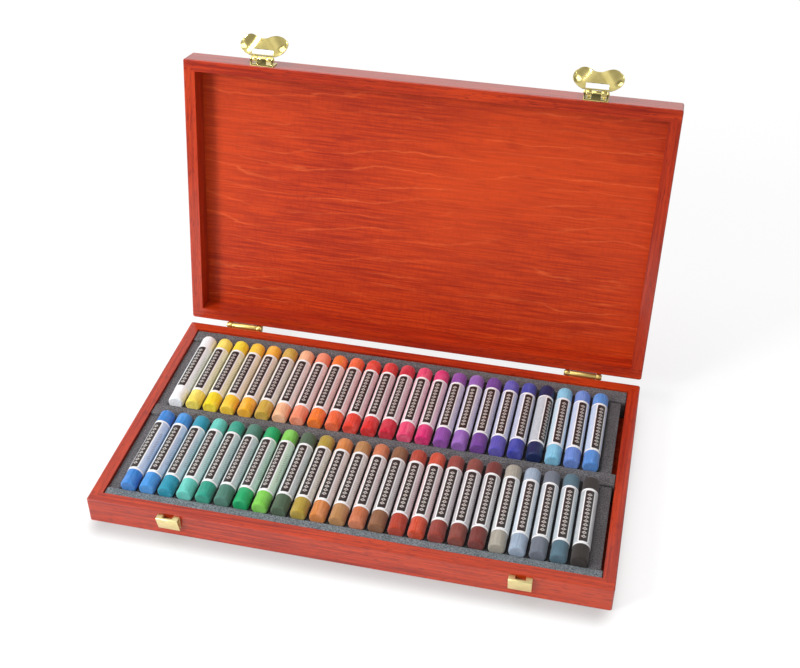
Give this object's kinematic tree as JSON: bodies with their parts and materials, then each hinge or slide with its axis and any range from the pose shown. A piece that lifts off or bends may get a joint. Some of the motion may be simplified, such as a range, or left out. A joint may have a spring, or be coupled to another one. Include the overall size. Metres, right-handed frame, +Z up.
{
  "type": "hinged wooden pastel case",
  "caption": "Shallow wooden case with a hinged lid, brass hasp catches and grooved foam beds that hold rows of round pastels in paper sleeves.",
  "frame": {"origin": "middle of the underside of the base", "axes": "+X along the case to the viewer's right, +Y from the front to the hinges, +Z up"},
  "size_m": [0.33, 0.2516, 0.2274],
  "materials": {
    "case_wood": "red stain under satin varnish",
    "plywood": "red-stained rotary-cut veneer, satin varnish",
    "foam": "speckled grey open foam",
    "brass": "bright plated",
    "sleeve_paper": "printed paper",
    "pastel_white_to_yellow": "dusty matte pigment",
    "pastel_gold_to_salmon": "dusty matte pigment",
    "pastel_orange_to_red": "dusty matte pigment",
    "pastel_crimson_to_violet": "dusty matte pigment",
    "pastel_violet_to_ultramarine": "dusty matte pigment",
    "pastel_navy_to_blue": "dusty matte pigment",
    "pastel_cobalt_to_aqua": "dusty matte pigment",
    "pastel_sea_green_to_lime": "dusty matte pigment",
    "pastel_olive_to_sienna": "dusty matte pigment",
    "pastel_terracotta_to_brick": "dusty matte pigment",
    "pastel_brown_to_warm_grey": "dusty matte pigment",
    "pastel_grey_to_black": "dusty matte pigment"
  },
  "bodies": {
    "case_base": {"base_front_wall": "case_wood", "base_back_wall": "case_wood", "base_left_wall": "case_wood", "base_right_wall": "case_wood", "base_bottom_panel": "plywood", "foam_back_strip": "foam", "foam_middle_strip": "foam", "foam_front_strip": "foam", "foam_back_bed": "foam", "foam_front_bed": "foam", "left_hinge_base_leaf": "brass", "left_hinge_pin": "brass", "left_catch_keeper": "brass", "right_hinge_base_leaf": "brass", "right_hinge_pin": "brass", "right_catch_keeper": "brass", "base_hinge_screws": "brass"},
    "lid": {"lid_front_wall": "case_wood", "lid_back_wall": "case_wood", "lid_left_wall": "case_wood", "lid_right_wall": "case_wood", "lid_panel": "plywood", "left_hinge_lid_leaf": "brass", "left_catch_bracket": "brass", "left_catch_pin": "brass", "right_hinge_lid_leaf": "brass", "right_catch_bracket": "brass", "right_catch_pin": "brass", "lid_hinge_screws": "brass", "catch_bracket_nails": "brass"},
    "left_hasp": {"left_catch_hasp": "brass"},
    "right_hasp": {"right_catch_hasp": "brass"},
    "pastels_white_to_yellow": {"sticks_white_to_yellow": "pastel_white_to_yellow", "sleeves_white_to_yellow": "sleeve_paper"},
    "pastels_gold_to_salmon": {"sticks_gold_to_salmon": "pastel_gold_to_salmon", "sleeves_gold_to_salmon": "sleeve_paper"},
    "pastels_orange_to_red": {"sticks_orange_to_red": "pastel_orange_to_red", "sleeves_orange_to_red": "sleeve_paper"},
    "pastels_crimson_to_violet": {"sticks_crimson_to_violet": "pastel_crimson_to_violet", "sleeves_crimson_to_violet": "sleeve_paper"},
    "pastels_violet_to_ultramarine": {"sticks_violet_to_ultramarine": "pastel_violet_to_ultramarine", "sleeves_violet_to_ultramarine": "sleeve_paper"},
    "pastels_navy_to_blue": {"sticks_navy_to_blue": "pastel_navy_to_blue", "sleeves_navy_to_blue": "sleeve_paper"},
    "pastels_cobalt_to_aqua": {"sticks_cobalt_to_aqua": "pastel_cobalt_to_aqua", "sleeves_cobalt_to_aqua": "sleeve_paper"},
    "pastels_sea_green_to_lime": {"sticks_sea_green_to_lime": "pastel_sea_green_to_lime", "sleeves_sea_green_to_lime": "sleeve_paper"},
    "pastels_olive_to_sienna": {"sticks_olive_to_sienna": "pastel_olive_to_sienna", "sleeves_olive_to_sienna": "sleeve_paper"},
    "pastels_terracotta_to_brick": {"sticks_terracotta_to_brick": "pastel_terracotta_to_brick", "sleeves_terracotta_to_brick": "sleeve_paper"},
    "pastels_brown_to_warm_grey": {"sticks_brown_to_warm_grey": "pastel_brown_to_warm_grey", "sleeves_brown_to_warm_grey": "sleeve_paper"},
    "pastels_grey_to_black": {"sticks_grey_to_black": "pastel_grey_to_black", "sleeves_grey_to_black": "sleeve_paper"}
  },
  "joints": [
    {"name": "lid_hinge", "type": "hinge", "parent": "case_base", "child": "lid", "pos_m": [0, 0.0983, 0.0186], "axis": [-1, 0, 0], "range_deg": [-100.5, 0]},
    {"name": "left_catch", "type": "hinge", "parent": "lid", "child": "left_hasp", "pos_m": [-0.11, 0.13651, 0.2138], "axis": [-1, 0, 0], "range_deg": [-100, 0]},
    {"name": "right_catch", "type": "hinge", "parent": "lid", "child": "right_hasp", "pos_m": [0.11, 0.13651, 0.2138], "axis": [-1, 0, 0], "range_deg": [-100, 0]},
    {"name": "lift_white_to_yellow", "type": "slide", "parent": "case_base", "child": "pastels_white_to_yellow", "axis": [0, 0, 1], "range_m": [0, 0.025]},
    {"name": "lift_gold_to_salmon", "type": "slide", "parent": "case_base", "child": "pastels_gold_to_salmon", "axis": [0, 0, 1], "range_m": [0, 0.025]},
    {"name": "lift_orange_to_red", "type": "slide", "parent": "case_base", "child": "pastels_orange_to_red", "axis": [0, 0, 1], "range_m": [0, 0.025]},
    {"name": "lift_crimson_to_violet", "type": "slide", "parent": "case_base", "child": "pastels_crimson_to_violet", "axis": [0, 0, 1], "range_m": [0, 0.025]},
    {"name": "lift_violet_to_ultramarine", "type": "slide", "parent": "case_base", "child": "pastels_violet_to_ultramarine", "axis": [0, 0, 1], "range_m": [0, 0.025]},
    {"name": "lift_navy_to_blue", "type": "slide", "parent": "case_base", "child": "pastels_navy_to_blue", "axis": [0, 0, 1], "range_m": [0, 0.025]},
    {"name": "lift_cobalt_to_aqua", "type": "slide", "parent": "case_base", "child": "pastels_cobalt_to_aqua", "axis": [0, 0, 1], "range_m": [0, 0.025]},
    {"name": "lift_sea_green_to_lime", "type": "slide", "parent": "case_base", "child": "pastels_sea_green_to_lime", "axis": [0, 0, 1], "range_m": [0, 0.025]},
    {"name": "lift_olive_to_sienna", "type": "slide", "parent": "case_base", "child": "pastels_olive_to_sienna", "axis": [0, 0, 1], "range_m": [0, 0.025]},
    {"name": "lift_terracotta_to_brick", "type": "slide", "parent": "case_base", "child": "pastels_terracotta_to_brick", "axis": [0, 0, 1], "range_m": [0, 0.025]},
    {"name": "lift_brown_to_warm_grey", "type": "slide", "parent": "case_base", "child": "pastels_brown_to_warm_grey", "axis": [0, 0, 1], "range_m": [0, 0.025]},
    {"name": "lift_grey_to_black", "type": "slide", "parent": "case_base", "child": "pastels_grey_to_black", "axis": [0, 0, 1], "range_m": [0, 0.025]}
  ]
}
